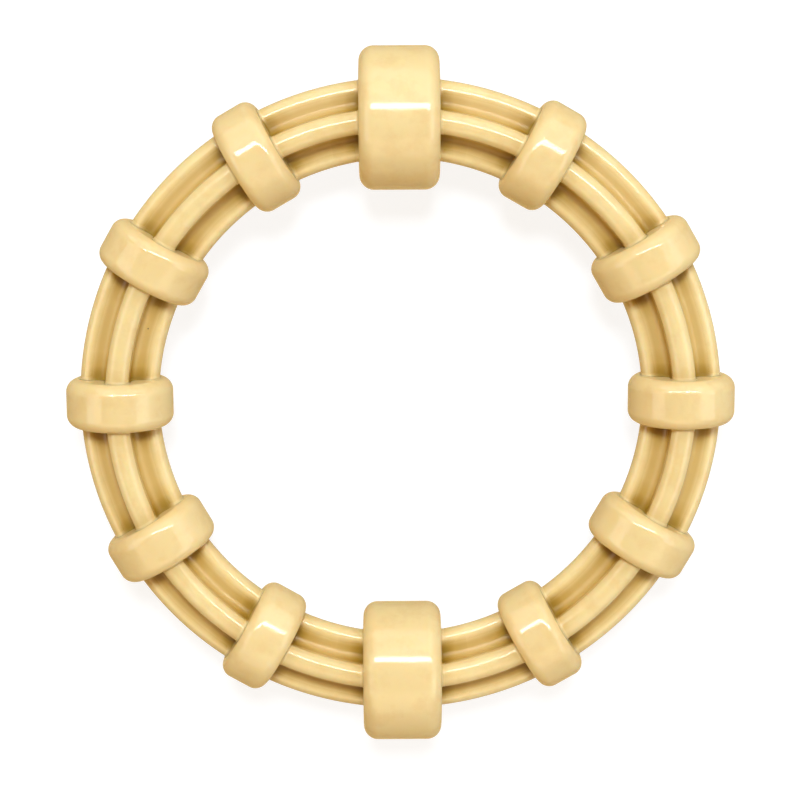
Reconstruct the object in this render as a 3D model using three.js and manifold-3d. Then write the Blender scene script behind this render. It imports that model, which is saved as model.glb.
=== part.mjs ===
import * as THREE from "three";
import { mergeVertices } from "three/addons/utils/BufferGeometryUtils.js";
import Module from "manifold-3d";

// Nylon chew ring, in millimetres, lying flat with +Z up.
// A hoop of four-ribbed bar carries twelve round collars, one at each hour of a clock face.
// The hoop is two equal halves, plugged together inside the wide collars at 12 and 6 o'clock.
// +Y points at 12 o'clock and +X at 3 o'clock. The ring rests on its two wide collars at z = 0.

// Hoop
const hoopRadius = 56; // ring's axis to the middle of the bar
const ribReach = 7.85; // middle of the bar to the crest of a rib
const ribWidth = 4.6;
const ribCrown = 2.2; // rounded length at a rib's crest
const rootFillet = 1.6; // hollow corner between two ribs

// Collars
const wideCollarRadius = 14;
const wideCollarWidth = 15.7;
const wideCollarRounding = 2.9; // radius of the barrel's two outer edges
const narrowCollarRadius = 10.6;
const narrowCollarWidth = 9.6;
const narrowCollarRounding = 2.5;

// Joints between the two halves of the hoop
const spigotRadius = 2.3;
const spigotLength = 5.2; // from the plane between the halves to its tip
const spigotBevel = 0.6;

// Clearances
const boreClearance = 0.3; // collar's bore to the ribs
const spigotClearance = 0.3; // round the spigot and at its tip
const halvesGap = 0.3; // between the end faces of the two halves
const overrun = 1.5; // how far a cutting solid, or the root of a joined one, runs on

// Counts and shares
const collarCount = 12;
const wideCollarCount = 2;
const ribCount = 4;
const crownPower = 2.2; // 2 makes a crest an ellipse, and more makes it squarer
const crownSteps = 4;
const filletSteps = 2;
const hoopFacets = 72;
const collarFacets = 24;
const edgeSteps = 3;
const spigotFacets = 16;

const nylon = { color: 0xe6cb92, roughness: 0.32, metalness: 0 };

const wasm = await Module();
wasm.setup();

// A closed mesh as a solid. Only its places count: equal corners are joined, and the slivers
// that this leaves with two corners in one place are dropped.
function toSolid(geometry) {
  const bare = geometry.clone();
  bare.deleteAttribute("normal");
  bare.deleteAttribute("uv");
  const merged = mergeVertices(bare);
  const index = merged.index.array;
  const triangles = [];
  for (let i = 0; i < index.length; i += 3) {
    const corners = [index[i], index[i + 1], index[i + 2]];
    if (new Set(corners).size === corners.length) {
      triangles.push(...corners);
    }
  }
  const vertProperties = new Float32Array(merged.attributes.position.array);
  const triVerts = new Uint32Array(triangles);
  return new wasm.Manifold(new wasm.Mesh({ numProp: 3, vertProperties, triVerts }));
}

function toGeometry(solid) {
  const { vertProperties, triVerts } = solid.getMesh();
  const indexed = new THREE.BufferGeometry();
  indexed.setAttribute("position", new THREE.BufferAttribute(vertProperties, 3));
  indexed.setIndex(new THREE.BufferAttribute(triVerts, 1));
  const geometry = indexed.toNonIndexed();
  geometry.computeVertexNormals();
  return geometry;
}

// Outline of the ribbed bar, grown all round by a margin: each rib's rounded crest in turn,
// and after it the hollow corner that leads to the next rib.
function barOutline(margin) {
  const halfWidth = ribWidth / 2 + margin;
  const crown = ribCrown + margin;
  const crownBase = ribReach - ribCrown;
  const fillet = Math.max(rootFillet - margin, 0);
  const filletCentre = halfWidth + fillet;
  const origin = new THREE.Vector2();
  const points = [];
  for (let rib = 0; rib < ribCount; rib++) {
    const turn = (rib / ribCount) * 2 * Math.PI;
    for (let i = 0; i <= crownSteps; i++) {
      const t = (i / crownSteps - 1 / 2) * Math.PI;
      const out = Math.abs(Math.cos(t)) ** (2 / crownPower);
      const side = Math.sign(t) * Math.abs(Math.sin(t)) ** (2 / crownPower);
      const crest = new THREE.Vector2(crownBase + crown * out, halfWidth * side);
      points.push(crest.rotateAround(origin, turn));
    }
    for (let i = 0; i <= filletSteps; i++) {
      const t = -(Math.PI / 2) * (1 + i / filletSteps);
      const x = filletCentre + fillet * Math.cos(t);
      const y = filletCentre + fillet * Math.sin(t);
      points.push(new THREE.Vector2(x, y).rotateAround(origin, turn));
    }
  }
  return points;
}

// The whole hoop of bar, centred on the ring's axis and grown by a margin.
function hoopSolid(margin) {
  const outline = barOutline(margin).map((p) => new THREE.Vector2(hoopRadius + p.x, p.y));
  outline.push(outline[0].clone());
  return toSolid(new THREE.LatheGeometry(outline, hoopFacets).rotateX(Math.PI / 2));
}

// A round plug along X, from its flat root at x = start to its bevelled tip at x = end.
function plug(radius, start, end, bevel) {
  const length = Math.abs(end - start);
  const profile = [
    new THREE.Vector2(0, 0),
    new THREE.Vector2(radius, 0),
    new THREE.Vector2(radius, length - bevel),
    new THREE.Vector2(radius - bevel, length),
    new THREE.Vector2(0, length),
  ];
  const geometry = new THREE.LatheGeometry(profile, spigotFacets);
  geometry.rotateZ((-Math.sign(end - start) * Math.PI) / 2);
  geometry.translate(start, 0, 0);
  return toSolid(geometry);
}

// The right half, with a spigot at its 12 o'clock end and a socket at its 6 o'clock end.
// Turned half a turn about Z, it is the left half, and each spigot lies in the other's socket.
function hoopHalf() {
  const span = 2 * (hoopRadius + ribReach + overrun);
  const rightSide = new THREE.BoxGeometry(span, span, span);
  rightSide.translate(span / 2 + halvesGap / 2, 0, 0);
  const spigot = plug(spigotRadius, halvesGap + overrun, -spigotLength, spigotBevel);
  const socketRadius = spigotRadius + spigotClearance;
  const socket = plug(socketRadius, -overrun, spigotLength + spigotClearance, spigotBevel);
  const bar = hoopSolid(0).intersect(toSolid(rightSide));
  const withSpigot = bar.add(spigot.translate([0, hoopRadius, 0]));
  return toGeometry(withSpigot.subtract(socket.translate([0, -hoopRadius, 0])));
}

// A collar round the bar at 3 o'clock, in its own frame: the barrel's axis is Y, and the
// ring's axis is at x = -hoopRadius. The barrel's flats touch its true radius, one of them
// straight down and one straight out. The bore follows the bar's ribs and its curve.
function collar(radius, width, rounding) {
  const corner = radius / Math.cos(Math.PI / collarFacets);
  const edge = [];
  for (let i = 0; i <= edgeSteps; i++) {
    const t = (i / edgeSteps) * (Math.PI / 2);
    const x = corner - rounding + rounding * Math.cos(t);
    const y = width / 2 - rounding + rounding * Math.sin(t);
    edge.push(new THREE.Vector2(x, y));
  }
  const lowerEdge = edge.map((p) => new THREE.Vector2(p.x, -p.y)).reverse();
  const profile = [
    new THREE.Vector2(0, -width / 2),
    ...lowerEdge,
    ...edge,
    new THREE.Vector2(0, width / 2),
  ];
  const halfFacet = Math.PI / collarFacets;
  const barrel = toSolid(new THREE.LatheGeometry(profile, collarFacets, halfFacet));
  const bore = hoopSolid(boreClearance).translate([-hoopRadius, 0, 0]);
  return toGeometry(barrel.subtract(bore));
}

function namedMesh(name, geometry) {
  const mesh = new THREE.Mesh(geometry, new THREE.MeshStandardMaterial(nylon));
  mesh.name = name;
  return mesh;
}

const part = new THREE.Group();
part.position.z = Math.max(wideCollarRadius, narrowCollarRadius);

const halfGeometry = hoopHalf();
const leftHalf = namedMesh("hoop_half_left", halfGeometry);
leftHalf.rotation.z = Math.PI;
part.add(namedMesh("hoop_half_right", halfGeometry), leftHalf);

const wideCollar = collar(wideCollarRadius, wideCollarWidth, wideCollarRounding);
const narrowCollar = collar(narrowCollarRadius, narrowCollarWidth, narrowCollarRounding);
for (let hour = 1; hour <= collarCount; hour++) {
  const isWide = hour % (collarCount / wideCollarCount) === 0;
  const name = `${isWide ? "wide" : "narrow"}_collar_${hour}_oclock`;
  const mesh = namedMesh(name, isWide ? wideCollar : narrowCollar);
  const angle = Math.PI / 2 - (hour / collarCount) * 2 * Math.PI;
  mesh.position.set(hoopRadius * Math.cos(angle), hoopRadius * Math.sin(angle), 0);
  mesh.rotation.z = angle;
  part.add(mesh);
}

export default part;
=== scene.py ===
import math

import bmesh
import bpy
from mathutils import Matrix, Vector


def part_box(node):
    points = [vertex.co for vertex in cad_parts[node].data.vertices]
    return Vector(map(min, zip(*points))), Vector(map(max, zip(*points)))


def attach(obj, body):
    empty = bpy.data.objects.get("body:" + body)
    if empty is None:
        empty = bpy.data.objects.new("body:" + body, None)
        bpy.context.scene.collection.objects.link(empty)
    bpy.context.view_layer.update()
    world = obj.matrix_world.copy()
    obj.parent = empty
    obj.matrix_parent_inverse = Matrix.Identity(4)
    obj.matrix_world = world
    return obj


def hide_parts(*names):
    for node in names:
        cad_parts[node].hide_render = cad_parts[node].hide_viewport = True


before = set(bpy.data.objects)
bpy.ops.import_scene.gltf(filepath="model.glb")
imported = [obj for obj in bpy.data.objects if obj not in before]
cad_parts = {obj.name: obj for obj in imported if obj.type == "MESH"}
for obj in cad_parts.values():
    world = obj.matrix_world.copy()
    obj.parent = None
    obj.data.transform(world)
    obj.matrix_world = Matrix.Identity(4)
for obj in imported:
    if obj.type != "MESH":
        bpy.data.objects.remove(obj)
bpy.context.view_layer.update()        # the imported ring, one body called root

mm = 0.001

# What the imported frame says: the ring lies flat, +Y is 12 o'clock and +X is 3 o'clock
wideLow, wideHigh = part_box("wide_collar_12_oclock")
narrowLow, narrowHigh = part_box("narrow_collar_3_oclock")
halfLow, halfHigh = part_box("hoop_half_right")
ringHeight = (wideLow.z + wideHigh.z) / 2
hoopRadius = (wideLow.y + wideHigh.y) / 2
collarCount = 12
wideHours = (12, 6)

bar = {
    "ribReach": (halfHigh.z - halfLow.z) / 2,
    "ribWidth": 4.6 * mm,
    "ribCrown": 2.2 * mm,      # rounded length at a rib's crest
    "crownPower": 2.2,         # 2 is an ellipse, more is squarer
    "rootFillet": 1.6 * mm,
    "crownSteps": 14,
    "filletSteps": 8,
    "ringsPerSpan": 36,
    "flare": 0.3 * mm,         # hollow fillet where the ribs run into a collar
    "seat": 0.02 * mm,         # hairline between that fillet and the collar
}
joint = {
    "gap": 0.3 * mm,           # between the two halves
    "radius": 2.3 * mm,
    "reach": -halfLow.x,       # how far the spigot passes the middle
    "root": 1.8 * mm,
    "clearance": 0.3 * mm,
    "rounding": 0.6 * mm,
    "edgeSteps": 6,
    "facets": 48,
}
wideCollar = {
    "radius": (wideHigh.z - wideLow.z) / 2,
    "width": wideHigh.x - wideLow.x,
    "rounding": 2.9 * mm,
    "slot": "nylon_collar",
}
narrowCollar = {
    "radius": (narrowHigh.z - narrowLow.z) / 2,
    "width": narrowHigh.y - narrowLow.y,
    "rounding": 2.5 * mm,
    "slot": "nylon_collar",
}
barrel = {
    "facets": 160,
    "edgeSteps": 16,
    "support": 0.15 * mm,      # ring of faces that keeps the flats flat beside a rounding
    "boreClearance": 0.3 * mm,
    "boreOverrun": 1.0 * mm,
    "boreSteps": 12,
}
sharpAngle = math.radians(35)
mergeReach = 0.001 * mm


# Node trees

def newGeometryTree(name, inputs):
    tree = bpy.data.node_groups.new(name, "GeometryNodeTree")
    for label, kind in inputs:
        tree.interface.new_socket(label, in_out="INPUT", socket_type="NodeSocket" + kind)
    tree.interface.new_socket("Geometry", in_out="OUTPUT", socket_type="NodeSocketGeometry")
    return tree


def newShaderGroup(name, inputs, outputs):
    tree = bpy.data.node_groups.new(name, "ShaderNodeTree")
    for label, kind, value in inputs:
        socket = tree.interface.new_socket(label, in_out="INPUT", socket_type="NodeSocket" + kind)
        if value is not None:
            socket.default_value = value
    for label, kind in outputs:
        tree.interface.new_socket(label, in_out="OUTPUT", socket_type="NodeSocket" + kind)
    return tree


def addNode(tree, kind, inputs=(), **settings):
    # inputs maps a socket's name or place to a value or to another node's output
    node = tree.nodes.new(kind)
    for key, value in settings.items():
        setattr(node, key, value)
    for key, value in dict(inputs).items():
        socket = node.inputs[key]
        if isinstance(value, bpy.types.NodeSocket):
            tree.links.new(value, socket)
        elif value is not None:
            socket.default_value = value
    return node


def calc(tree, operation, a, b=None, c=None):
    node = addNode(tree, "ShaderNodeMath", {0: a, 1: b, 2: c}, operation=operation)
    return node.outputs[0]


def squared(tree, value):
    return calc(tree, "POWER", value, 2.0)


def diagonal(tree, a, b):
    return calc(tree, "SQRT", calc(tree, "ADD", squared(tree, a), squared(tree, b)))


def calcVector(tree, operation, a, b=None):
    node = addNode(tree, "ShaderNodeVectorMath", {0: a, 1: b}, operation=operation)
    return node.outputs[0]


def combine(tree, x=0.0, y=0.0, z=0.0):
    return addNode(tree, "ShaderNodeCombineXYZ", {0: x, 1: y, 2: z}).outputs[0]


def separate(tree, vector):
    return addNode(tree, "ShaderNodeSeparateXYZ", {0: vector}).outputs


def position(tree):
    return addNode(tree, "GeometryNodeInputPosition").outputs[0]


def choose(tree, test, ifFalse, ifTrue):
    node = addNode(tree, "GeometryNodeSwitch", input_type="FLOAT")
    for key, value in {"Switch": test, "False": ifFalse, "True": ifTrue}.items():
        if isinstance(value, bpy.types.NodeSocket):
            tree.links.new(value, node.inputs[key])
        else:
            node.inputs[key].default_value = value
    return node.outputs[0]


def finishTree(tree, mesh, material):
    # smooth faces with sharp edges only at true corners, then the two nodes that every tree ends in
    smooth = addNode(tree, "GeometryNodeSetShadeSmooth", {"Geometry": mesh, "Shade Smooth": True})
    angle = addNode(tree, "GeometryNodeInputMeshEdgeAngle").outputs["Unsigned Angle"]
    sharp = calc(tree, "GREATER_THAN", angle, sharpAngle)
    edges = addNode(tree, "GeometryNodeSetShadeSmooth", {
        "Geometry": smooth.outputs[0], "Selection": sharp, "Shade Smooth": False}, domain="EDGE")
    real = addNode(tree, "GeometryNodeRealizeInstances", {"Geometry": edges.outputs[0]})
    return addNode(tree, "GeometryNodeSetMaterial", {
        "Geometry": real.outputs[0], "Material": material}).outputs[0]


def output(tree, geometry):
    addNode(tree, "NodeGroupOutput", {0: geometry})


# The barrel is a circle swept along X, with its radius and place worked out ring by ring
def makeBarrelTree():
    tree = newGeometryTree("roundedBarrel", [
        ("Middle", "Float"), ("Length", "Float"), ("Radius", "Float"), ("Rounding", "Float"),
        ("Support", "Float"), ("Edge Steps", "Int"), ("Facets", "Int")])
    given = addNode(tree, "NodeGroupInput").outputs
    rounding = given["Rounding"]
    count = calc(tree, "MULTIPLY_ADD", given["Edge Steps"], 2.0, 4.0)
    last = calc(tree, "SUBTRACT", count, 1.0)
    index = addNode(tree, "GeometryNodeInputIndex").outputs[0]
    fromEnd = calc(tree, "MINIMUM", index, calc(tree, "SUBTRACT", last, index))
    turn = calc(tree, "MINIMUM", calc(tree, "DIVIDE", fromEnd, given["Edge Steps"]), 1.0)
    angle = calc(tree, "MULTIPLY", turn, math.pi / 2)
    flat = calc(tree, "SUBTRACT", calc(tree, "MULTIPLY", given["Length"], 0.5), rounding)
    out = calc(tree, "MULTIPLY_ADD", rounding, calc(tree, "COSINE", angle), flat)
    past = calc(tree, "MAXIMUM", calc(tree, "SUBTRACT", fromEnd, given["Edge Steps"]), 0.0)
    inset = calc(tree, "SUBTRACT", out, calc(tree, "MULTIPLY", past, given["Support"]))
    side = calc(tree, "SIGN", calc(tree, "SUBTRACT", index, calc(tree, "MULTIPLY", last, 0.5)))
    along = calc(tree, "MULTIPLY_ADD", side, inset, given["Middle"])
    inner = calc(tree, "SUBTRACT", given["Radius"], rounding)
    radius = calc(tree, "MULTIPLY_ADD", rounding, calc(tree, "SINE", angle), inner)
    line = addNode(tree, "GeometryNodeCurvePrimitiveLine", {"End": (1.0, 0.0, 0.0)})
    rings = addNode(tree, "GeometryNodeResampleCurve", {"Curve": line.outputs[0], "Count": count})
    placed = addNode(tree, "GeometryNodeSetPosition", {
        "Geometry": rings.outputs[0], "Position": combine(tree, along)})
    circle = addNode(tree, "GeometryNodeCurvePrimitiveCircle", {
        "Resolution": given["Facets"], "Radius": 1.0})
    swept = addNode(tree, "GeometryNodeCurveToMesh", {
        "Curve": placed.outputs[0], "Profile Curve": circle.outputs[0], "Scale": radius,
        "Fill Caps": True})
    output(tree, swept.outputs[0])
    return tree


def addBarrel(tree, barrelTree, middle, length, radius, rounding, support, steps, facets):
    return addNode(tree, "GeometryNodeGroup", {
        "Middle": middle, "Length": length, "Radius": radius, "Rounding": rounding,
        "Support": support, "Edge Steps": steps, "Facets": facets}, node_tree=barrelTree).outputs[0]


# A collar is made at 12 o'clock, where its axis is X, then turned to its hour
def makeCollarTree(barrelTree):
    tree = newGeometryTree("keyedCollar", [
        ("Bore Section", "Object"), ("Hour", "Int"), ("Hoop Radius", "Float"), ("Height", "Float"),
        ("Radius", "Float"), ("Width", "Float"), ("Rounding", "Float"), ("Support", "Float"),
        ("Edge Steps", "Int"), ("Facets", "Int"), ("Bore Overrun", "Float"), ("Bore Steps", "Int"),
        ("Material", "Material")])
    given = addNode(tree, "NodeGroupInput").outputs
    solid = addBarrel(tree, barrelTree, 0.0, given["Width"], given["Radius"], given["Rounding"],
                      given["Support"], given["Edge Steps"], given["Facets"])
    lifted = addNode(tree, "GeometryNodeTransform", {
        "Geometry": solid, "Translation": combine(tree, 0.0, given["Hoop Radius"], 0.0)})
    halfLength = calc(tree, "MULTIPLY_ADD", given["Width"], 0.5, given["Bore Overrun"])
    halfSweep = calc(tree, "DIVIDE", halfLength, given["Hoop Radius"])
    arc = addNode(tree, "GeometryNodeCurveArc", {
        "Resolution": given["Bore Steps"], "Radius": given["Hoop Radius"],
        "Start Angle": calc(tree, "SUBTRACT", math.pi / 2, halfSweep),
        "Sweep Angle": calc(tree, "MULTIPLY", halfSweep, 2.0)})
    section = addNode(tree, "GeometryNodeObjectInfo", {"Object": given["Bore Section"]})
    bore = addNode(tree, "GeometryNodeCurveToMesh", {
        "Curve": arc.outputs["Curve"], "Profile Curve": section.outputs["Geometry"], "Fill Caps": True})
    cut = addNode(tree, "GeometryNodeMeshBoolean", {
        "Mesh 1": lifted.outputs[0], "Mesh 2": bore.outputs[0]}, operation="DIFFERENCE", solver="EXACT")
    turn = calc(tree, "MULTIPLY", given["Hour"], -2 * math.pi / collarCount)
    rotation = addNode(tree, "FunctionNodeEulerToRotation", {0: combine(tree, 0.0, 0.0, turn)})
    turned = addNode(tree, "GeometryNodeTransform", {
        "Geometry": cut.outputs[0], "Rotation": rotation.outputs[0],
        "Translation": combine(tree, 0.0, 0.0, given["Height"])})
    output(tree, finishTree(tree, turned.outputs[0], given["Material"]))
    return tree


# Half of the hoop: the section is swept along a straight line, one point of the line for each ring,
# and every ring is then carried to its place. Each sixth of the half is one cell, from the middle
# of a collar to the middle of the next. In a cell the rings lie close together beside the collars'
# end faces, where the section swells into a small fillet. Ring 0 of a cell is in the middle of its
# first collar, ring 1 and the last one lie at the end faces unswollen, and the others are the span.
def makeHoopTree(barrelTree):
    tree = newGeometryTree("ribbedHalfHoop", [
        ("Section", "Object"), ("Turn", "Float"), ("Hoop Radius", "Float"), ("Height", "Float"),
        ("Wide Collar Width", "Float"), ("Narrow Collar Width", "Float"), ("Rings Per Span", "Int"),
        ("Flare", "Float"), ("Seat", "Float"), ("Halves Gap", "Float"), ("Joint Radius", "Float"),
        ("Joint Reach", "Float"), ("Joint Root", "Float"), ("Joint Clearance", "Float"),
        ("Joint Rounding", "Float"), ("Joint Edge Steps", "Int"), ("Joint Facets", "Int"),
        ("Material", "Material")])
    given = addNode(tree, "NodeGroupInput").outputs
    cells = collarCount / 2
    step = 2 * math.pi / collarCount
    perCell = calc(tree, "ADD", given["Rings Per Span"], 4.0)
    rings = calc(tree, "MULTIPLY", perCell, cells)
    line = addNode(tree, "GeometryNodeCurvePrimitiveLine", {"End": (1.0, 0.0, 0.0)})
    points = addNode(tree, "GeometryNodeResampleCurve", {
        "Curve": line.outputs[0], "Count": calc(tree, "ADD", rings, 1.0)})
    section = addNode(tree, "GeometryNodeObjectInfo", {"Object": given["Section"]})
    straight = addNode(tree, "GeometryNodeCurveToMesh", {
        "Curve": points.outputs[0], "Profile Curve": section.outputs["Geometry"], "Fill Caps": True})

    x, u, v = separate(tree, position(tree))
    ring = calc(tree, "ROUND", calc(tree, "MULTIPLY", x, rings))
    cell = calc(tree, "FLOOR", calc(tree, "DIVIDE", calc(tree, "ADD", ring, 0.5), perCell))
    place = calc(tree, "SUBTRACT", ring, calc(tree, "MULTIPLY", cell, perCell))
    rho = calc(tree, "ADD", given["Hoop Radius"], u)

    def halfWidth(wideTest):
        width = choose(tree, wideTest, given["Narrow Collar Width"], given["Wide Collar Width"])
        return calc(tree, "MULTIPLY_ADD", width, 0.5, given["Seat"])

    firstHalf = halfWidth(calc(tree, "LESS_THAN", cell, 0.5))
    secondHalf = halfWidth(calc(tree, "GREATER_THAN", cell, cells - 1.5))
    firstFace = calc(tree, "ARCSINE", calc(tree, "DIVIDE", firstHalf, rho))
    secondTurn = calc(tree, "ARCSINE", calc(tree, "DIVIDE", secondHalf, rho))
    secondFace = calc(tree, "SUBTRACT", step, secondTurn)
    share = calc(tree, "DIVIDE", calc(tree, "SUBTRACT", place, 2.0), given["Rings Per Span"])
    share = addNode(tree, "ShaderNodeClamp", {0: share, 1: 0.0, 2: 1.0}).outputs[0]
    wave = calc(tree, "COSINE", calc(tree, "MULTIPLY", share, math.pi))
    eased = calc(tree, "MULTIPLY_ADD", wave, -0.5, 0.5)
    reach = calc(tree, "SUBTRACT", secondFace, firstFace)
    inSpan = calc(tree, "MULTIPLY_ADD", eased, reach, firstFace)
    local = choose(tree, calc(tree, "LESS_THAN", place, 0.5), inSpan, 0.0)

    # swelling beside a collar: a quarter circle that ends at the face
    forth = calc(tree, "MULTIPLY", rho, calc(tree, "SINE", local))
    fromFirst = calc(tree, "SUBTRACT", forth, firstHalf)
    back = calc(tree, "MULTIPLY", rho, calc(tree, "SINE", calc(tree, "SUBTRACT", step, local)))
    fromSecond = calc(tree, "SUBTRACT", back, secondHalf)
    near = calc(tree, "MAXIMUM", calc(tree, "MINIMUM", fromFirst, fromSecond), 0.0)
    short = calc(tree, "MAXIMUM", calc(tree, "SUBTRACT", given["Flare"], near), 0.0)
    squares = calc(tree, "SUBTRACT", squared(tree, given["Flare"]), squared(tree, short))
    rise = calc(tree, "SQRT", calc(tree, "MAXIMUM", squares, 0.0))
    swell = calc(tree, "SUBTRACT", given["Flare"], rise)
    afterFirst = calc(tree, "GREATER_THAN", place, 1.5)
    beforeLast = calc(tree, "LESS_THAN", place, calc(tree, "ADD", given["Rings Per Span"], 2.5))
    swell = calc(tree, "MULTIPLY", swell, calc(tree, "MULTIPLY", afterFirst, beforeLast))

    normal = addNode(tree, "GeometryNodeInputNormal").outputs[0]
    across = separate(tree, normal)
    grownU = calc(tree, "MULTIPLY_ADD", across[1], swell, u)
    grownV = calc(tree, "MULTIPLY_ADD", across[2], swell, v)
    angle = calc(tree, "MULTIPLY_ADD", cell, step, local)
    outward = calc(tree, "ADD", given["Hoop Radius"], grownU)
    atX = calc(tree, "MULTIPLY", outward, calc(tree, "SINE", angle))
    cutX = calc(tree, "MAXIMUM", atX, calc(tree, "MULTIPLY", given["Halves Gap"], 0.5))
    atY = calc(tree, "MULTIPLY", outward, calc(tree, "COSINE", angle))

    bent = addNode(tree, "GeometryNodeSetPosition", {
        "Geometry": straight.outputs[0], "Position": combine(tree, cutX, atY, grownV)})

    # spigot at 12 o'clock, socket at 6 o'clock
    spigotLength = calc(tree, "ADD", given["Joint Reach"], given["Joint Root"])
    spigotEnds = calc(tree, "SUBTRACT", given["Joint Root"], given["Joint Reach"])
    spigotMiddle = calc(tree, "MULTIPLY", spigotEnds, 0.5)
    spigot = addBarrel(tree, barrelTree, spigotMiddle, spigotLength, given["Joint Radius"],
                       given["Joint Rounding"], 0.0, given["Joint Edge Steps"], given["Joint Facets"])
    spigotAt = addNode(tree, "GeometryNodeTransform", {
        "Geometry": spigot, "Translation": combine(tree, 0.0, given["Hoop Radius"], 0.0)})
    socketDeep = calc(tree, "ADD", given["Joint Reach"], given["Joint Clearance"])
    socketLength = calc(tree, "ADD", socketDeep, given["Joint Root"])
    socketEnds = calc(tree, "SUBTRACT", socketDeep, given["Joint Root"])
    socketMiddle = calc(tree, "MULTIPLY", socketEnds, 0.5)
    socketRadius = calc(tree, "ADD", given["Joint Radius"], given["Joint Clearance"])
    socket = addBarrel(tree, barrelTree, socketMiddle, socketLength, socketRadius,
                       given["Joint Rounding"], 0.0, given["Joint Edge Steps"], given["Joint Facets"])
    down = calc(tree, "MULTIPLY", given["Hoop Radius"], -1.0)
    socketAt = addNode(tree, "GeometryNodeTransform", {
        "Geometry": socket, "Translation": combine(tree, 0.0, down, 0.0)})
    joined = addNode(tree, "GeometryNodeMeshBoolean", operation="UNION", solver="EXACT")
    tree.links.new(bent.outputs[0], joined.inputs["Mesh 2"])
    tree.links.new(spigotAt.outputs[0], joined.inputs["Mesh 2"])
    bored = addNode(tree, "GeometryNodeMeshBoolean", {
        "Mesh 1": joined.outputs[0], "Mesh 2": socketAt.outputs[0]},
        operation="DIFFERENCE", solver="EXACT")

    # how far each point lies from the middle of the bar and from the nearest collar, which tell the
    # material where to paint shade in the hollows and in the corners
    endX, endY, endZ = separate(tree, position(tree))
    fromAxis = diagonal(tree, endX, endY)
    aside = calc(tree, "SUBTRACT", fromAxis, given["Hoop Radius"])
    fromMiddle = diagonal(tree, aside, endZ)
    turnFromTop = calc(tree, "ARCTAN2", endX, endY)
    hour = calc(tree, "ROUND", calc(tree, "DIVIDE", turnFromTop, step))
    turnFromCollar = calc(tree, "ABSOLUTE", calc(tree, "MULTIPLY_ADD", hour, -step, turnFromTop))
    fromHalfway = calc(tree, "ABSOLUTE", calc(tree, "SUBTRACT", hour, cells / 2))
    collarHalf = halfWidth(calc(tree, "GREATER_THAN", fromHalfway, cells / 2 - 0.5))
    past = calc(tree, "MULTIPLY", fromAxis, calc(tree, "SINE", turnFromCollar))
    fromCollar = calc(tree, "MAXIMUM", calc(tree, "SUBTRACT", past, collarHalf), 0.0)
    marked = addNode(tree, "GeometryNodeStoreNamedAttribute", {
        "Geometry": bored.outputs[0], "Name": "fromMiddle", "Value": fromMiddle}, domain="POINT")
    marked = addNode(tree, "GeometryNodeStoreNamedAttribute", {
        "Geometry": marked.outputs[0], "Name": "fromCollar", "Value": fromCollar}, domain="POINT")
    rotation = addNode(tree, "FunctionNodeEulerToRotation", {0: combine(tree, 0.0, 0.0, given["Turn"])})
    turned = addNode(tree, "GeometryNodeTransform", {
        "Geometry": marked.outputs[0], "Rotation": rotation.outputs[0],
        "Translation": combine(tree, 0.0, 0.0, given["Height"])})
    output(tree, finishTree(tree, turned.outputs[0], given["Material"]))
    return tree


# The bar's cross-section as a closed curve, grown all round by a margin
def makeSection(name, margin):
    halfWidth = bar["ribWidth"] / 2 + margin
    crown = bar["ribCrown"] + margin
    crownBase = bar["ribReach"] - bar["ribCrown"]
    fillet = max(bar["rootFillet"] - margin, 0)
    corner = halfWidth + fillet
    places = []
    for rib in range(4):
        turn = Matrix.Rotation(rib * math.pi / 2, 2)
        for i in range(bar["crownSteps"] + 1):
            t = (i / bar["crownSteps"] - 0.5) * math.pi
            out = abs(math.cos(t)) ** (2 / bar["crownPower"])
            side = math.copysign(abs(math.sin(t)) ** (2 / bar["crownPower"]), t)
            places.append(turn @ Vector((crownBase + crown * out, halfWidth * side)))
        for i in range(bar["filletSteps"] + 1):
            t = -math.pi / 2 * (1 + i / bar["filletSteps"])
            places.append(turn @ Vector((corner + fillet * math.cos(t), corner + fillet * math.sin(t))))
    curve = bpy.data.curves.new(name, "CURVE")
    spline = curve.splines.new("POLY")
    spline.points.add(len(places) - 1)
    for point, place in zip(spline.points, places):
        point.co = (place.x, place.y, 0, 1)
    spline.use_cyclic_u = True
    section = bpy.data.objects.new(name, curve)
    bpy.context.scene.collection.objects.link(section)
    return section


def makePiece(name, tree, values):
    # runs a tree on an empty mesh and keeps the result as a plain mesh at the origin
    maker = bpy.data.objects.new(name + "Maker", bpy.data.meshes.new(name + "Maker"))
    bpy.context.scene.collection.objects.link(maker)
    modifier = maker.modifiers.new(tree.name, "NODES")
    modifier.node_group = tree
    for item in tree.interface.items_tree:
        if item.item_type == "SOCKET" and item.in_out == "INPUT":
            modifier[item.identifier] = values[item.name]
    evaluated = maker.evaluated_get(bpy.context.evaluated_depsgraph_get())
    mesh = bpy.data.meshes.new_from_object(evaluated)
    bpy.data.objects.remove(maker)
    mesh.name = name
    work = bmesh.new()
    work.from_mesh(mesh)
    bmesh.ops.remove_doubles(work, verts=work.verts, dist=mergeReach)
    bmesh.ops.recalc_face_normals(work, faces=work.faces)
    for face in work.faces:
        face.material_index = 0
    work.to_mesh(mesh)
    work.free()
    mesh.materials.clear()
    mesh.materials.append(values["Material"])
    piece = bpy.data.objects.new(name, mesh)
    bpy.context.scene.collection.objects.link(piece)
    return piece


# Materials

def objectPlace(tree):
    return addNode(tree, "ShaderNodeTexCoord").outputs["Object"]


def noise(tree, vector, scale, detail=2.0, roughness=0.5):
    return addNode(tree, "ShaderNodeTexNoise", {
        "Vector": vector, "Scale": scale, "Detail": detail, "Roughness": roughness}).outputs["Fac"]


def spread(tree, value, low, high, toLow=0.0, toHigh=1.0):
    node = addNode(tree, "ShaderNodeMapRange", {0: value, 1: low, 2: high, 3: toLow, 4: toHigh})
    return node.outputs[0]


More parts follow.
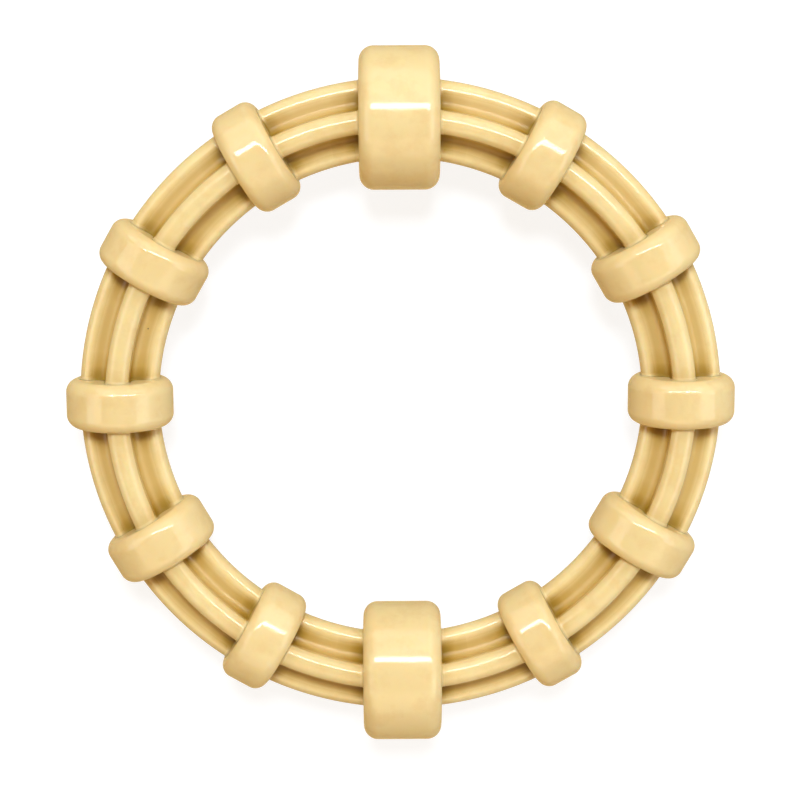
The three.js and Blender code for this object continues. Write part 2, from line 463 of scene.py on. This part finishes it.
def mixColour(tree, factor, a, b, blend="MIX"):
    node = addNode(tree, "ShaderNodeMix", data_type="RGBA", blend_type=blend)
    for place, value in {0: factor, 6: a, 7: b}.items():
        if isinstance(value, bpy.types.NodeSocket):
            tree.links.new(value, node.inputs[place])
        else:
            node.inputs[place].default_value = value
    return node.outputs[2]


# Slow waves that a mould leaves in a polished surface, and a finer ripple over them
def makeWaviness():
    tree = newShaderGroup("mouldWaviness", [
        ("Vector", "Vector", None), ("Wave Scale", "Float", 90.0), ("Ripple Scale", "Float", 700.0),
        ("Ripple Share", "Float", 0.15)], [("Height", "Float")])
    given = addNode(tree, "NodeGroupInput").outputs
    slow = noise(tree, given["Vector"], given["Wave Scale"], 1.0)
    fine = noise(tree, given["Vector"], given["Ripple Scale"], 2.0)
    addNode(tree, "NodeGroupOutput", {0: calc(tree, "MULTIPLY_ADD", fine, given["Ripple Share"], slow)})
    return tree


scratches = {
    "angles": ((0.3, 0.5, 0.4), (1.1, -0.4, 2.2)),
    "lineWidth": 0.012,        # share of the noise's range
    "patchScale": 60.0,
    "patchFrom": 0.5,
    "patchTo": 0.65,
}


# Fine handling scratches: thin stretched lines, two ways, in patches
def makeScratches():
    tree = newShaderGroup("handlingScratches", [
        ("Vector", "Vector", None), ("Scale", "Float", 260.0), ("Stretch", "Float", 14.0),
        ("Amount", "Float", 0.5)], [("Mask", "Float")])
    given = addNode(tree, "NodeGroupInput").outputs
    lines = []
    for angles in scratches["angles"]:
        turned = addNode(tree, "ShaderNodeMapping", {
            "Vector": given["Vector"], "Rotation": angles}, vector_type="TEXTURE")
        stretched = calcVector(tree, "MULTIPLY", turned.outputs[0],
                               combine(tree, given["Stretch"], 1.0, 1.0))
        streak = noise(tree, stretched, given["Scale"], 1.0)
        edge = calc(tree, "ABSOLUTE", calc(tree, "SUBTRACT", streak, 0.5))
        lines.append(spread(tree, edge, 0.0, scratches["lineWidth"], 1.0, 0.0))
    patchNoise = noise(tree, given["Vector"], scratches["patchScale"])
    patches = spread(tree, patchNoise, scratches["patchFrom"], scratches["patchTo"])
    both = calc(tree, "MAXIMUM", lines[0], lines[1])
    mask = calc(tree, "MULTIPLY", calc(tree, "MULTIPLY", both, patches), given["Amount"])
    addNode(tree, "NodeGroupOutput", {0: mask})
    return tree


# Tiny pits and specks: a few of the cells of a Voronoi pattern hold a dot
def makeSpecks():
    tree = newShaderGroup("mouldSpecks", [
        ("Vector", "Vector", None), ("Scale", "Float", 140.0), ("Size", "Float", 0.035),
        ("Share", "Float", 0.06)], [("Mask", "Float")])
    given = addNode(tree, "NodeGroupInput").outputs
    cells = addNode(tree, "ShaderNodeTexVoronoi", {"Vector": given["Vector"], "Scale": given["Scale"]})
    lot = separate(tree, cells.outputs["Color"])[0]
    chosen = calc(tree, "LESS_THAN", lot, given["Share"])
    size = given["Size"]
    dot = addNode(tree, "ShaderNodeMapRange", {
        0: cells.outputs["Distance"], 1: calc(tree, "MULTIPLY", size, 0.6), 2: size, 3: 1.0, 4: 0.0})
    addNode(tree, "NodeGroupOutput", {0: calc(tree, "MULTIPLY", dot.outputs[0], chosen)})
    return tree


hoopTones = {
    "colour": (0.925, 0.732, 0.362, 1.0),
    "cloudColour": (0.945, 0.768, 0.397, 1.0),
    # painted shade: darker colours for the hollows, the corners at the collars and the creases there
    "hollowShadeColour": (0.650, 0.445, 0.142, 1.0),    # in the hollows between the ribs
    "cornerShadeColour": (0.46, 0.270, 0.030, 1.0),   # where the ribs run into a collar
    "creaseShadowColour": (0.26, 0.150, 0.002, 1.0),   # the last of it, right at the collar
}
collarTones = {
    "colour": (0.913, 0.708, 0.350, 1.0),
    "cloudColour": (0.934, 0.747, 0.385, 1.0),
}
nylon = {
    "ior": 1.53,
    "cloudScale": 55.0,
    "mottleScale": 230.0,
    "mottleColour": (0.80, 0.56, 0.235, 1.0),
    "mottleAmount": 0.30,
    "speckColour": (0.16, 0.10, 0.05, 1.0),
    "roughness": 0.085,
    "roughnessSpread": 0.05,
    "roughnessScale": 120.0,
    "scratchRoughness": 0.25,
    "scatter": 0.5,
    "scatterReach": 0.8 * mm,
    "scatterColour": (1.0, 0.65, 0.38),
    "hollowRoughness": 0.28,   # added in the hollows between the ribs
    "hollowFrom": 5.1 * mm,    # distance from the bar's middle up to which a hollow has its full painted shade
    "hollowTo": 6.65 * mm,     # and from which it has the plain colour
    "cornerFrom": 0.6 * mm,    # the same for the painted shade in a corner, by its distance from the collar
    "cornerTo": 5.8 * mm,
    "cornerShadeOnCrest": 0.17,     # how much of the painted corner and crease shade climbs on to the crests
    "creaseFrom": 0.5 * mm,    # the same for the painted shadow in the crease
    "creaseTo": 2.8 * mm,
    "creaseShadowAmount": 0.75,
    "seamFrom": 0.3 * mm,      # close beside a collar the gloss is duller
    "seamTo": 0.8 * mm,
    "seamRoughness": 0.35,
    "waveHeight": 0.05 * mm,
    "scratchHeight": 0.004 * mm,
}


def makeNylon(name, groups, tones):
    material = bpy.data.materials.new(name)
    material.use_nodes = True
    tree = material.node_tree
    shader = tree.nodes["Principled BSDF"]
    where = objectPlace(tree)
    wavy = addNode(tree, "ShaderNodeGroup", node_tree=groups["waviness"])
    scratched = addNode(tree, "ShaderNodeGroup", node_tree=groups["scratches"])
    specked = addNode(tree, "ShaderNodeGroup", node_tree=groups["specks"])
    for node in (wavy, scratched, specked):
        tree.links.new(where, node.inputs["Vector"])
    clouds = spread(tree, noise(tree, where, nylon["cloudScale"], 3.0), 0.35, 0.65)
    colour = mixColour(tree, clouds, tones["colour"], tones["cloudColour"])
    fineClouds = noise(tree, where, nylon["mottleScale"], 4.0, 0.6)
    mottle = spread(tree, fineClouds, 0.48, 0.66, 0.0, nylon["mottleAmount"])
    colour = mixColour(tree, mottle, colour, nylon["mottleColour"])
    rough = spread(tree, noise(tree, where, nylon["roughnessScale"], 3.0), 0.3, 0.7,
                   nylon["roughness"], nylon["roughness"] + nylon["roughnessSpread"])
    # painted shade in the hollows between the ribs, whose gloss is also rougher
    if "hollowShadeColour" in tones:
        depth = addNode(tree, "ShaderNodeAttribute", attribute_name="fromMiddle").outputs["Fac"]
        hollow = spread(tree, depth, nylon["hollowFrom"], nylon["hollowTo"], 1.0, 0.0)
        colour = mixColour(tree, hollow, colour, tones["hollowShadeColour"])
        rough = calc(tree, "MULTIPLY_ADD", hollow, nylon["hollowRoughness"], rough)
        # painted shade in the corners beside each collar, and painted shadow in the crease right at it
        reach = addNode(tree, "ShaderNodeAttribute", attribute_name="fromCollar").outputs["Fac"]
        corner = spread(tree, reach, nylon["cornerFrom"], nylon["cornerTo"], 1.0, 0.0)
        share = spread(tree, hollow, 0.0, 1.0, nylon["cornerShadeOnCrest"], 1.0)
        colour = mixColour(tree, calc(tree, "MULTIPLY", corner, share), colour, tones["cornerShadeColour"])
        crease = spread(tree, reach, nylon["creaseFrom"], nylon["creaseTo"], nylon["creaseShadowAmount"], 0.0)
        colour = mixColour(tree, calc(tree, "MULTIPLY", crease, share), colour, tones["creaseShadowColour"])
        seam = spread(tree, reach, nylon["seamFrom"], nylon["seamTo"], nylon["seamRoughness"], 0.0)
        rough = calc(tree, "ADD", rough, seam)
    colour = mixColour(tree, specked.outputs["Mask"], colour, nylon["speckColour"])
    rough = calc(tree, "MULTIPLY_ADD", scratched.outputs["Mask"], nylon["scratchRoughness"], rough)
    waveBump = addNode(tree, "ShaderNodeBump", {
        "Height": wavy.outputs["Height"], "Distance": nylon["waveHeight"]})
    scratchBump = addNode(tree, "ShaderNodeBump", {
        "Height": scratched.outputs["Mask"], "Distance": nylon["scratchHeight"],
        "Normal": waveBump.outputs[0]}, invert=True)
    tree.links.new(colour, shader.inputs["Base Color"])
    tree.links.new(rough, shader.inputs["Roughness"])
    tree.links.new(scratchBump.outputs[0], shader.inputs["Normal"])
    shader.inputs["IOR"].default_value = nylon["ior"]
    shader.inputs["Subsurface Weight"].default_value = nylon["scatter"]
    shader.inputs["Subsurface Radius"].default_value = nylon["scatterColour"]
    shader.inputs["Subsurface Scale"].default_value = nylon["scatterReach"]
    return material


# Stage: camera, lamps, world and floor

camera = {
    "distance": 8.0 * hoopRadius,
    "tilt": math.radians(10.4),        # from the ring's axis towards 12 o'clock
    "aside": math.radians(-0.27),
    "roll": math.radians(-0.32),
    "focalPixels": 2243.7,
    "framePixels": 800,
    "centrePixels": (400.76, 399.92),
    "sensor": 36.0,
    "clipStart": 0.01,
}


def makeCamera():
    data = bpy.data.cameras.new("camera")
    view = bpy.data.objects.new("camera", data)
    bpy.context.scene.collection.objects.link(view)
    tilt, aside = camera["tilt"], camera["aside"]
    back = Vector((math.sin(aside) * math.cos(tilt), math.sin(tilt), math.cos(aside) * math.cos(tilt)))
    right = Vector((0, 1, 0)).cross(back).normalized()
    right.rotate(Matrix.Rotation(camera["roll"], 3, back))
    up = back.cross(right)
    turn = Matrix((right, up, back)).transposed().to_4x4()
    place = Vector((0, 0, ringHeight)) + back * camera["distance"]
    view.matrix_world = Matrix.Translation(place) @ turn
    frameSize = camera["framePixels"]
    data.sensor_width = camera["sensor"]
    data.lens = camera["focalPixels"] / frameSize * camera["sensor"]
    data.shift_x = -(camera["centrePixels"][0] - frameSize / 2) / frameSize
    data.shift_y = (camera["centrePixels"][1] - frameSize / 2) / frameSize
    data.clip_start = camera["clipStart"]
    bpy.context.scene.camera = view
    return place


lamps = {
    # level is the brightness that a white card at the ring, facing the lamp, gets from it
    "key": {"place": (0.0, 0.84, 1.58), "size": (0.5, 0.4), "level": 0.955,
            "colour": (0.747, 0.848, 0.968)},
    "back": {"place": (-0.15, 0.85, 0.25), "size": (1.0, 0.3), "level": 0.12},
    "window": {"place": (0.52, 0.42, 0.24), "size": (0.55, 0.40), "level": 0.07},
    "right": {"place": (0.80, -0.30, 0.34), "size": (0.8, 0.3), "level": 0.33,
              "colour": (0.62, 0.74, 1.0)},
    "front": {"place": (-0.10, -0.85, 0.30), "size": (1.0, 0.3), "level": 0.15,
              "colour": (1.0, 0.93, 0.75)},
    "left": {"place": (-0.85, -0.15, 0.34), "size": (0.8, 0.3), "level": 0.07,
             "colour": (1.0, 0.7, 0.4)},
    # these only show in the gloss: the strip makes the long highlights, the others a bright room
    "strip": {"place": (0.04, 0.206, 0.390), "size": (0.49, 0.064), "level": 0.82,
              "roll": math.radians(9)},
    "roomBack": {"place": (0.0, 0.579, 0.689), "size": (1.4, 0.47), "level": 0.45},
    "roomFarBack": {"place": (0.0, 0.853, 0.286), "size": (1.4, 0.53), "level": 0.4},
    "roomFront": {"place": (0.0, -0.602, 0.669), "size": (1.4, 0.58), "level": 0.36,
                  "colour": (1.0, 0.86, 0.62)},
    "roomLeft": {"place": (-0.728, 0.0, 0.529), "size": (0.9, 0.52), "level": 0.3},
    "roomRight": {"place": (0.728, 0.0, 0.529), "size": (0.9, 0.52), "level": 0.3},
}
mirrorOnlyLamps = ("strip", "roomBack", "roomFarBack", "roomFront", "roomLeft", "roomRight")
mirroredLamps = ("window", *mirrorOnlyLamps)
# The light from all round is warm, and with the cool key it adds up to a nearly white one
worldTone = {"level": 0.28, "colour": (1.0, 0.57, 0.03), "mirrored": 0.33}
floorTone = {"albedo": 0.28, "glow": 0.84, "size": 3.0}
cards = {
    # the collars mirror a black one round the lens, below their highlights, and a tan one under the ring
    "lensCard": {"height": 0.43, "low": (-0.33, -0.18), "high": (0.33, 0.16),
                 "colour": (0.02, 0.02, 0.02, 1.0)},
    "tableCard": {"height": 0.05 * mm - ringHeight, "low": (-0.6, -0.6), "high": (0.6, 0.6),
                  "colour": (0.80, 0.56, 0.25, 1.0)},
}


def makeLamps():
    target = Vector((0, 0, ringHeight))
    for name, lamp in lamps.items():
        data = bpy.data.lights.new(name, "AREA")
        data.shape = "RECTANGLE"
        data.size, data.size_y = lamp["size"]
        place = target + Vector(lamp["place"])
        toRing = target - place
        data.energy = lamp["level"] * math.pi ** 2 * toRing.length_squared
        data.color = lamp.get("colour", (1.0, 1.0, 1.0))
        light = bpy.data.objects.new(name, data)
        bpy.context.scene.collection.objects.link(light)
        light.location = place
        light.rotation_euler = toRing.to_track_quat("-Z", "Y").to_euler()
        light.rotation_euler.rotate_axis("Z", lamp.get("roll", 0.0))
        light.visible_camera = False
        light.visible_glossy = name in mirroredLamps
        light.visible_diffuse = name not in mirrorOnlyLamps


def flatSheet(name, low, high, height):
    mesh = bpy.data.meshes.new(name)
    corners = [(low[0], low[1]), (high[0], low[1]), (high[0], high[1]), (low[0], high[1])]
    mesh.from_pydata([(x, y, height) for x, y in corners], [], [(0, 1, 2, 3)])
    sheet = bpy.data.objects.new(name, mesh)
    bpy.context.scene.collection.objects.link(sheet)
    return sheet


# Cards that only the gloss of the ring sees. Light passes them, and so does the camera.
def makeCards():
    for name, card in cards.items():
        sheet = flatSheet(name, card["low"], card["high"], ringHeight + card["height"])
        material = bpy.data.materials.new(name)
        material.use_nodes = True
        shader = material.node_tree.nodes["Principled BSDF"]
        shader.inputs["Base Color"].default_value = (0.0, 0.0, 0.0, 1.0)
        shader.inputs["Roughness"].default_value = 1.0
        shader.inputs["Specular IOR Level"].default_value = 0.0
        shader.inputs["Emission Color"].default_value = card["colour"]
        shader.inputs["Emission Strength"].default_value = 1.0
        sheet.data.materials.append(material)
        sheet.visible_camera = False
        sheet.visible_diffuse = False
        sheet.visible_transmission = False
        sheet.visible_shadow = False


def seesBackdrop(tree):
    # 1 for rays from the camera and for transmitted ones, less for reflected ones, and nothing where
    # the white would reach a dull surface by way of a glossy one and so light the ring
    path = addNode(tree, "ShaderNodeLightPath").outputs
    mirrored = calc(tree, "MULTIPLY", path["Is Glossy Ray"], worldTone["mirrored"])
    seen = calc(tree, "MAXIMUM", path["Is Camera Ray"], mirrored)
    seen = calc(tree, "MAXIMUM", seen, path["Is Transmission Ray"])
    return calc(tree, "MULTIPLY", seen, calc(tree, "LESS_THAN", path["Diffuse Depth"], 0.5))


def makeWorld():
    world = bpy.data.worlds.new("studio")
    world.use_nodes = True
    tree = world.node_tree
    background = tree.nodes["Background"]
    backdrop = seesBackdrop(tree)
    dim = (*worldTone["colour"], 1.0)
    colour = mixColour(tree, backdrop, dim, (1.0, 1.0, 1.0, 1.0))
    strength = spread(tree, backdrop, 0.0, 1.0, worldTone["level"], 1.0)
    tree.links.new(colour, background.inputs["Color"])
    tree.links.new(strength, background.inputs["Strength"])
    bpy.context.scene.world = world


def makeFloor():
    half = floorTone["size"] / 2
    floor = flatSheet("floor", (-half, -half), (half, half), 0)
    material = bpy.data.materials.new("floorWhite")
    material.use_nodes = True
    tree = material.node_tree
    shader = tree.nodes["Principled BSDF"]
    tone = floorTone["albedo"]
    shader.inputs["Base Color"].default_value = (tone, tone, tone, 1)
    shader.inputs["Roughness"].default_value = 1.0
    shader.inputs["Specular IOR Level"].default_value = 0.0
    glow = addNode(tree, "ShaderNodeEmission", {
        "Strength": calc(tree, "MULTIPLY", seesBackdrop(tree), floorTone["glow"])})
    both = addNode(tree, "ShaderNodeAddShader", {0: shader.outputs[0], 1: glow.outputs[0]})
    tree.links.new(both.outputs[0], tree.nodes["Material Output"].inputs["Surface"])
    floor.data.materials.append(material)


bpy.context.scene.view_settings.view_transform = "Standard"
makeCamera()
makeLamps()
makeWorld()
makeFloor()
makeCards()
print("stage ready")

groups = {"waviness": makeWaviness(), "scratches": makeScratches(), "specks": makeSpecks()}
hoopNylon = makeNylon("hoopNylon", groups, hoopTones)
collarNylon = makeNylon("collarNylon", groups, collarTones)
print("materials ready")

barSection = makeSection("barSection", 0.0)
boreSection = makeSection("boreSection", barrel["boreClearance"])
barrelTree = makeBarrelTree()
hoopTree = makeHoopTree(barrelTree)
collarTree = makeCollarTree(barrelTree)

for side, turn in (("right", 0.0), ("left", math.pi)):
    half = makePiece("hoopHalf" + side.capitalize(), hoopTree, {
        "Section": barSection, "Turn": turn, "Hoop Radius": hoopRadius, "Height": ringHeight,
        "Wide Collar Width": wideCollar["width"], "Narrow Collar Width": narrowCollar["width"],
        "Rings Per Span": bar["ringsPerSpan"], "Flare": bar["flare"], "Seat": bar["seat"],
        "Halves Gap": joint["gap"], "Joint Radius": joint["radius"], "Joint Reach": joint["reach"],
        "Joint Root": joint["root"], "Joint Clearance": joint["clearance"],
        "Joint Rounding": joint["rounding"], "Joint Edge Steps": joint["edgeSteps"],
        "Joint Facets": joint["facets"], "Material": hoopNylon})
    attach(half, "root")
    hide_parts("hoop_half_" + side)
    print(half.name, len(half.data.polygons), "faces")

for hour in range(1, collarCount + 1):
    isWide = hour in wideHours
    sizes = wideCollar if isWide else narrowCollar
    kind = "wide" if isWide else "narrow"
    piece = makePiece(kind + "Collar" + str(hour), collarTree, {
        "Bore Section": boreSection, "Hour": hour, "Hoop Radius": hoopRadius, "Height": ringHeight,
        "Radius": sizes["radius"], "Width": sizes["width"], "Rounding": sizes["rounding"],
        "Support": barrel["support"], "Edge Steps": barrel["edgeSteps"], "Facets": barrel["facets"],
        "Bore Overrun": barrel["boreOverrun"], "Bore Steps": barrel["boreSteps"],
        "Material": collarNylon})
    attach(piece, "root")
    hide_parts(f"{kind}_collar_{hour}_oclock")
print("collars ready,", len(piece.data.polygons), "faces in the last")

bpy.data.objects.remove(barSection)
bpy.data.objects.remove(boreSection)
